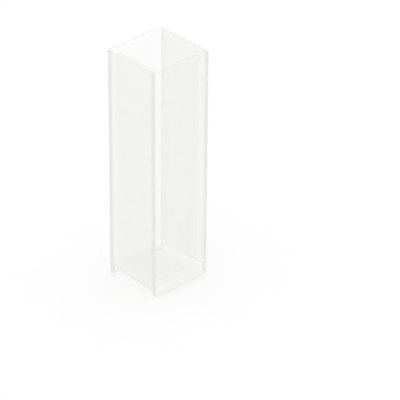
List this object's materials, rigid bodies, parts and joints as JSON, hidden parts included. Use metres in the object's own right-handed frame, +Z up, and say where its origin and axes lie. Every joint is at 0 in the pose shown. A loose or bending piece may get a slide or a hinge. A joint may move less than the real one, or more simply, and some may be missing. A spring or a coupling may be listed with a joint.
{
  "type": "cuvette",
  "caption": "Tall square clear plastic sample cell, open at the top, with two polished window walls, two finely matt walls and a raised floor on low feet, for liquids in a light beam.",
  "frame": {"origin": "middle of the square outline, on the plane that the feet stand on", "axes": "+Z up the middle of the well towards the open rim, X across the walls that are notched at the foot, Y across the walls that run down as feet"},
  "size_m": [0.0126, 0.0126, 0.045],
  "materials": {
    "clear_plastic": "clear and polished on the two window walls, across Y; finely matt outside on the two notched walls, across X"
  },
  "bodies": {
    "root": {"cuvette_body": "clear_plastic"}
  },
  "joints": []
}
